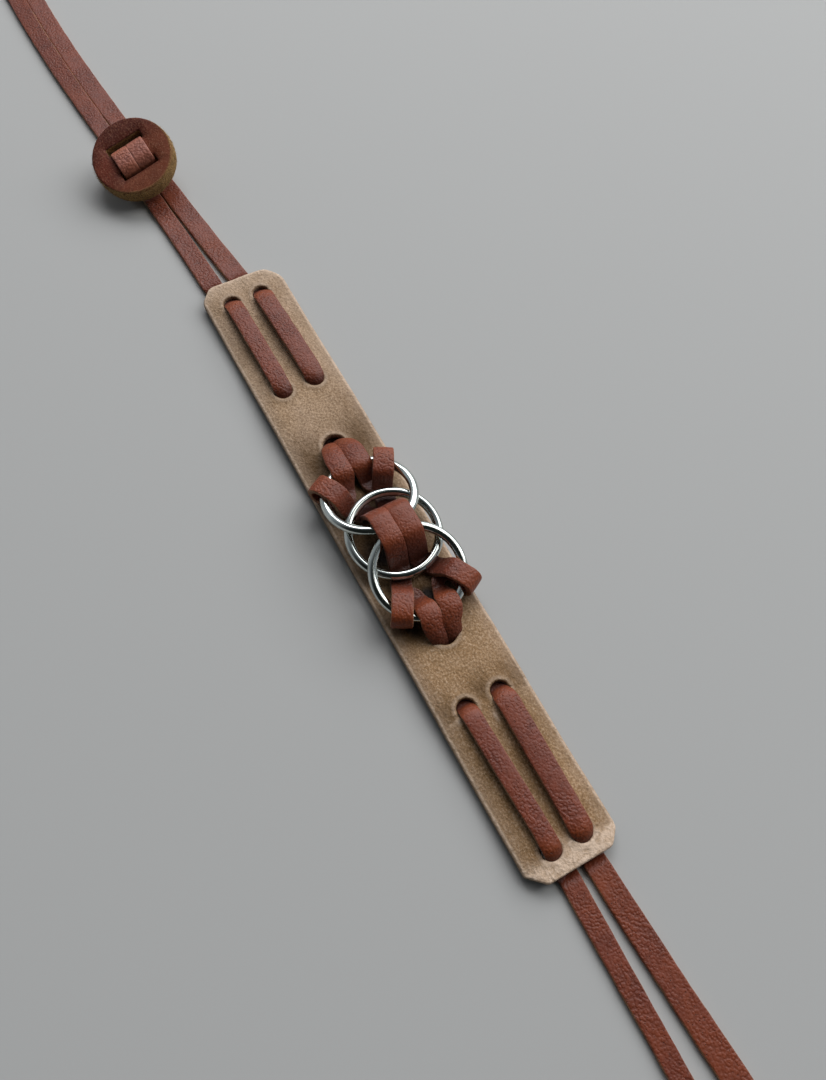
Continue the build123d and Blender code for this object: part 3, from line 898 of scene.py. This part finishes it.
# Where the outer rings cross the middle one: this far along from their middles, and this high.
SIDE_CROSSING, SIDE_CROSSING_HEIGHT = 5.2, 4.82
CENTRE_RING_GAP = 0.6
nickel = nickel_material()
outer_height = SIDE_CROSSING_HEIGHT + math.tan(math.radians(RING_TILT)) * SIDE_CROSSING
centre_height = (
    FACE + CENTRE_RING_GAP + WIRE_RADIUS + RING_RADIUS * math.sin(math.radians(CENTRE_RING_TILT))
)
around, section = 160, 28
for name, x, y, height, tilt in (
    ("ring_upper", RINGS_X - UPPER_SPACING, 0, outer_height, -RING_TILT),
    ("ring_centre", RINGS_X, RINGS_Y, centre_height, CENTRE_RING_TILT),
    ("ring_lower", RINGS_X + LOWER_SPACING, RINGS_Y, outer_height, RING_TILT),
):
    lean = Matrix.Rotation(math.radians(tilt), 3, "Y")
    centre = Vector((x, y, height))
    points = []
    for i in range(around):
        a = 2 * math.pi * i / around
        for j in range(section):
            b = 2 * math.pi * j / section
            reach = RING_RADIUS + WIRE_RADIUS * math.cos(b)
            local = Vector((reach * math.cos(a), reach * math.sin(a), WIRE_RADIUS * math.sin(b)))
            points.append((centre + lean @ local) * MM)
    faces = []
    for i in range(around):
        for j in range(section):
            i2, j2 = (i + 1) % around, (j + 1) % section
            faces.append((i * section + j, i2 * section + j, i2 * section + j2, i * section + j2))
    unmarked = [(0, 0, 0)] * len(points)
    make_piece(name + "_wire", points, faces, unmarked, nickel, "headband", [name])

# ---------- slider button
BUTTON_DIAMETER, BUTTON_THICKNESS, BUTTON_TILT, BUTTON_ROLL = 17.8, 4.0, 10.5, 15.0
SLOT_LENGTH, SLOT_WIDTH, SLOT_OFFSET = 8.6, 2.0, 3.35
SLOTS = (-SLOT_OFFSET, SLOT_OFFSET)
BRIDGE_REACH = 3.0
BUTTON_X, BUTTON_Y, BUTTON_CLEARANCE = -104.0, -6.9, 0.25
slope = math.atan2(0.1, 1)
button_lean = math.acos(math.cos(math.radians(BUTTON_TILT)) * math.cos(math.radians(BUTTON_ROLL)))
button_base = LACE_THICKNESS + BUTTON_CLEARANCE + BUTTON_DIAMETER / 2 * math.sin(button_lean)
BUTTON_FRAME = (
    Matrix.Translation(Vector((BUTTON_X, BUTTON_Y, button_base)))
    @ Matrix.Rotation(slope, 4, "Z")
    @ Matrix.Rotation(math.radians(BUTTON_TILT), 4, "Y")
    @ Matrix.Rotation(math.radians(BUTTON_ROLL), 4, "X")
)


def in_button(x, y, z):
    return (BUTTON_FRAME @ Vector((x, y, z))) * MM


def slot_outline(centre):
    """A slot's outline with rounded corners, clockwise, as points about 0.35 mm apart."""
    corner, spacing = 0.3, 0.35
    half_length, half_slot = SLOT_LENGTH / 2, SLOT_WIDTH / 2
    ends = []
    for sx, sy, start in ((1, 1, 0), (-1, 1, 90), (-1, -1, 180), (1, -1, 270)):
        for k in range(4):
            a = math.radians(start + 30 * k)
            x = centre + sx * (half_slot - corner) + corner * math.cos(a)
            ends.append(Vector((x, sy * (half_length - corner) + corner * math.sin(a))))
    found = []
    for i, point in enumerate(ends):
        after = ends[(i + 1) % len(ends)]
        pieces = max(1, int((after - point).length / spacing))
        found += [point.lerp(after, j / pieces) for j in range(pieces)]
    return found[::-1]


def build_button():
    radius, half_length, half_slot = BUTTON_DIAMETER / 2, SLOT_LENGTH / 2, SLOT_WIDTH / 2
    outline = []
    number, uneven = 120, 0.012
    for i in range(number):
        a = 2 * math.pi * i / number
        wobble = noise.noise(Vector((math.cos(a) * 1.3, math.sin(a) * 1.3, 4.0)))
        r = radius * (1 - uneven + uneven * wobble)
        outline.append(Vector((r * math.cos(a), r * math.sin(a))))
    verts, edges = joined_loops([outline] + [slot_outline(centre) for centre in SLOTS])
    for depth in (0.1, 0.25, 0.5, 0.85):
        verts += [p * (1 - depth / radius) for p in outline]

    def in_slot(x, y, margin):
        return any(abs(x - c) < half_slot + margin and abs(y) < half_length + margin for c in SLOTS)

    step = 0.42
    for row in range(-24, 25):
        for column in range(-24, 25):
            x, y = (column + 0.5 * (row % 2)) * step, row * step * 0.866
            if math.hypot(x, y) <= radius - 1.15 and not in_slot(x, y, 0.25):
                verts.append(Vector((x, y)))
    flat, kept = triangles_inside(verts, edges, lambda middle: not in_slot(middle.x, middle.y, -0.01))
    tops, unders, marks = [], [], []
    for p in flat:
        to_slot = min(
            math.hypot(max(abs(p.x - s) - half_slot, 0), max(abs(p.y) - half_length, 0)) for s in SLOTS
        )
        edge = max(radius - 0.05 - p.length, 0.0)
        drop = 0.0
        if edge < 0.5:
            drop += 0.5 - math.sqrt(0.25 - (0.5 - edge) ** 2)
        drop += 0.28 * math.exp(-(to_slot / 0.9) ** 2)
        drop += 0.25 * hill(p.length, 0, 4.0)
        height = BUTTON_THICKNESS - drop + 0.06 * noise.noise(Vector((p.x / 2.2, p.y / 2.2, 9.0)))
        tops.append((p.x, p.y, height))
        unders.append((p.x, p.y, 0.25 * soft(1 - edge / 0.5)))
        # Paler towards one side from wear, with painted light along the rim on its lit side; darker towards
        # the other side, with painted shade at the slots.
        worn_and_lit = soft((p.x * 0.8 + p.y * 0.5 + 2.0) / 6.0) * 0.8
        rim_light = soft((p.x + 0.6 * p.y) / radius + 0.35)
        worn_and_lit = max(worn_and_lit, 0.9 * rim_light * math.exp(-((edge - 0.3) / 0.3) ** 2))
        dark = soft((-p.x - 1.0) / 5.0) * 0.8
        # The raw rim colour only on the rim's lit side: painted light.
        lit_raw_rim = 0.75 * rim_light * math.exp(-((edge - 0.12) / 0.16) ** 2)
        marks.append((lit_raw_rim, worn_and_lit, max(dark, 0.9 * math.exp(-(to_slot / 0.5) ** 2))))

    def wall_point(i, t):
        """A point of a wall, rough and a little bellied round the outside."""
        x, y = flat[i]
        z = tops[i][2] * (1 - t) + unders[i][2] * t
        r = math.hypot(x, y)
        if r > radius * 0.9:
            rough = noise.noise(Vector((x * 1.6, y * 1.6, z * 2.2))) * 0.22
            rough += noise.noise(Vector((x * 5.0, y * 5.0, z * 5.0))) * 0.12
            belly = 0.25 * math.sin(math.pi * t)
            scale = (r + belly * 0.5 + rough * math.sin(math.pi * t)) / r
            x, y = x * scale, y * scale
        return in_button(x, y, z)

    points, faces, marks = thick_sheet(
        kept, [in_button(*p) for p in tops], [in_button(*p) for p in unders], marks,
        (1.0, 0, 0), 12, wall_point,
    )
    make_piece(
        "button", points, faces, marks, button_material(), "slider", ["slider_button"],
    )


build_button()

# Loose fibres on the button's raw wall.
rng = random.Random(5)
points, faces = [], []
for _ in range(900):
    a = rng.uniform(0, 2 * math.pi)
    z = rng.uniform(0.4, BUTTON_THICKNESS - 0.5)
    r = BUTTON_DIAMETER / 2 + 0.05
    start = Vector((r * math.cos(a), r * math.sin(a), z))
    outward = Vector((math.cos(a), math.sin(a), 0))
    side = Vector((-math.sin(a), math.cos(a), 0))
    reach = rng.uniform(0.25, 0.75)
    lean = Vector((0, 0, rng.uniform(-0.6, 0.6))) + side * rng.uniform(-0.9, 0.9)
    tip = start + (outward * 0.45 + lean * 0.6) * reach
    middle = start + (outward * 0.45 + lean * 0.2) * reach * 0.5
    thick = rng.uniform(0.02, 0.045)
    base = len(points)
    for place, size in ((start - outward * 0.15, thick), (middle, thick * 0.8), (tip, thick * 0.25)):
        for k in range(3):
            b = 2 * math.pi * k / 3
            spot = place + side * size * math.cos(b) + Vector((0, 0, size * math.sin(b)))
            points.append(in_button(*spot))
    for level in (0, 3):
        for k in range(3):
            n = (k + 1) % 3
            faces.append((base + level + k, base + level + n, base + level + 3 + n, base + level + 3 + k))
    faces.append((base + 6, base + 7, base + 8))
    faces.append((base + 2, base + 1, base))
unmarked = [(0, 0, 0)] * len(points)
make_piece("button_fibres", points, faces, unmarked, fuzz_material(), "slider", ())

# The two stretches of lace over the button's bridge, in a paler, pinker copy of the lace leather that paints
# their sheen, more on the left stretch.
painted_sheen_bridge_leather = lace_material(
    "painted_sheen_bridge_leather", (0.44, 0.17, 0.125), (0.52, 0.16, 0.075), (0.31, 0.105, 0.08), (0.44, 0.24, 0.13),
)
BRIDGE_WIDTH = 3.85
BRIDGE_TOP = BUTTON_THICKNESS + 0.30
# (x, z, bend, shade), up through one slot, over, and down through the other.
BRIDGE_ROWS = (
    (-BRIDGE_REACH - 0.1, 0.3, 0, 0.9),
    (-BRIDGE_REACH + 0.1, 2.4, 0, 0.7),
    (-BRIDGE_REACH + 0.55, BRIDGE_TOP - 0.85, 0.5, 0.3),
    (-BRIDGE_REACH + 1.25, BRIDGE_TOP - 0.2, 0.9, 0),
    (-0.8, BRIDGE_TOP + 0.1, 0.4, 0),
    (1.0, BRIDGE_TOP + 0.15, 0.2, 0),
    (BRIDGE_REACH - 0.8, BRIDGE_TOP - 0.1, 0.5, 0),
    (BRIDGE_REACH - 0.05, BRIDGE_TOP - 0.8, 0.7, 0.15),
    (BRIDGE_REACH + 0.1, 2.4, 0, 0.6),
    (BRIDGE_REACH + 0.1, 0.3, 0, 0.9),
)
across = (BUTTON_FRAME.to_3x3() @ Vector((0, 1, 0))).normalized()
for side, name, painted_sheen in ((-1, "left", 0.9), (1, "right", 0.45)):
    middle = side * (BRIDGE_WIDTH / 2 - 0.03)
    rows = [
        {
            "c": BUTTON_FRAME @ Vector((x, middle, z)), "across": across, "width": BRIDGE_WIDTH,
            "curl": 0.03, "bend": bend * painted_sheen, "shade": shade, "raw": 0.12,
        }
        for x, z, bend, shade in BRIDGE_ROWS
    ]
    points, faces, marks = ribbon_mesh(smooth_stations(rows, 6), seed=20.0 + side)
    nodes = ["bridge_lace_" + name]
    make_piece("bridge_" + name, points, faces, marks, painted_sheen_bridge_leather, "slider", nodes)


# ---------- knot and tie
def wrap(name, centre, half_size, turns, pitch, heading, thick, width, nodes=()):
    """A lace wound round a flat bundle whose direction is heading."""
    onward = Vector((math.cos(heading), math.sin(heading), 0))
    sideways = Vector((-onward.y, onward.x, 0))
    half_width, half_height = half_size
    rows = []
    steps = int(16 * turns)
    for i in range(steps + 1):
        t = i / steps
        a = 2 * math.pi * turns * t
        offset = sideways * (half_width * math.copysign(abs(math.cos(a)) ** 0.6, math.cos(a)))
        offset += Vector((0, 0, half_height * math.copysign(abs(math.sin(a)) ** 0.8, math.sin(a))))
        place = Vector(centre) + offset + onward * pitch * (t - 0.5) * turns
        rows.append({
            "c": place, "across": onward, "width": width, "curl": 0, "bend": 0.3, "shade": 0, "thick": thick,
        })
    points, faces, marks = ribbon_mesh(smooth_stations(rows, 3), seed=30.0)
    make_piece(name, points, faces, marks, lace_leather, "headband", nodes)


wrap("end_knot_wrap", (-196.8, -6.2, 2.9), (3.3, 2.2), 2.2, 3.4, -0.15, 0.95, 3.4, ["end_knot"])
wrap("hank_tie", (-209.5, -9.8, 1.95), (5.1, 1.4), 1.1, 1.2, 0.05, 0.7, 2.6)

# ---------- floor and light
FLOOR_REACH = 3.0
FLOOR_GREY, FLOOR_ROUGHNESS = (0.47, 0.465, 0.45), 0.85
floor_shader = Shader("floor")
floor_shader.finish(FLOOR_GREY, FLOOR_ROUGHNESS, None, Specular_IOR_Level=0.2)
floor_mesh = bpy.data.meshes.new("floor")
floor_corners = [(x * FLOOR_REACH, y * FLOOR_REACH, 0) for x, y in ((-1, -1), (1, -1), (1, 1), (-1, 1))]
floor_mesh.from_pydata(floor_corners, [], [(0, 1, 2, 3)])
floor_mesh.materials.append(floor_shader.material)
floor = bpy.data.objects.new("floor", floor_mesh)
scene.collection.objects.link(floor)

ROOM_STRENGTH = 0.42
ROOM_COLOUR, DARK_COLOUR = (0.78, 0.84, 0.92, 1.0), (0.03, 0.036, 0.034, 1.0)
DARK_SIDE = (0.62, -0.44, 0.65)
world = bpy.data.worlds.new("world")
scene.world = world
world.use_nodes = True
tree = world.node_tree
background = tree.nodes["Background"]
background.inputs["Strength"].default_value = ROOM_STRENGTH
# A pale room, dark overhead on the side that the object is seen from.
direction = tree.nodes.new("ShaderNodeTexCoord").outputs["Generated"]
facing = tree.nodes.new("ShaderNodeVectorMath")
facing.operation = "DOT_PRODUCT"
facing.inputs[1].default_value = DARK_SIDE
tree.links.new(direction, facing.inputs[0])
darken = tree.nodes.new("ShaderNodeMapRange")
darken.interpolation_type = "SMOOTHSTEP"
tree.links.new(facing.outputs["Value"], darken.inputs["Value"])
for key, number in (("From Min", 0.12), ("From Max", 0.8), ("To Min", 0.0), ("To Max", 1.0)):
    darken.inputs[key].default_value = number
tone = tree.nodes.new("ShaderNodeMix")
tone.data_type = "RGBA"
tree.links.new(darken.outputs["Result"], tone.inputs[0])
tone.inputs[6].default_value = ROOM_COLOUR
tone.inputs[7].default_value = DARK_COLOUR
tree.links.new(tone.outputs[2], background.inputs["Color"])


def area_light(name, direction, distance, size, power, colour):
    data = bpy.data.lights.new(name, "AREA")
    data.shape = "RECTANGLE"
    data.size, data.size_y = size
    data.energy = power
    data.color = colour
    lamp = bpy.data.objects.new(name, data)
    towards = Vector(direction).normalized()
    lamp.location = towards * distance
    lamp.rotation_euler = towards.to_track_quat("Z", "Y").to_euler()
    scene.collection.objects.link(lamp)


area_light("window", (-0.34, 0.84, 0.70), 1.3, (1.5, 0.9), 14.5, (0.95, 0.975, 1.0))
area_light("panel", (-0.66, 0.20, 0.70), 1.0, (0.45, 0.45), 3.0, (0.96, 0.97, 1.0))
area_light("overhead", (0.0, 0.5, 1.0), 1.0, (0.35, 0.35), 0.8, (1.0, 0.97, 0.93))
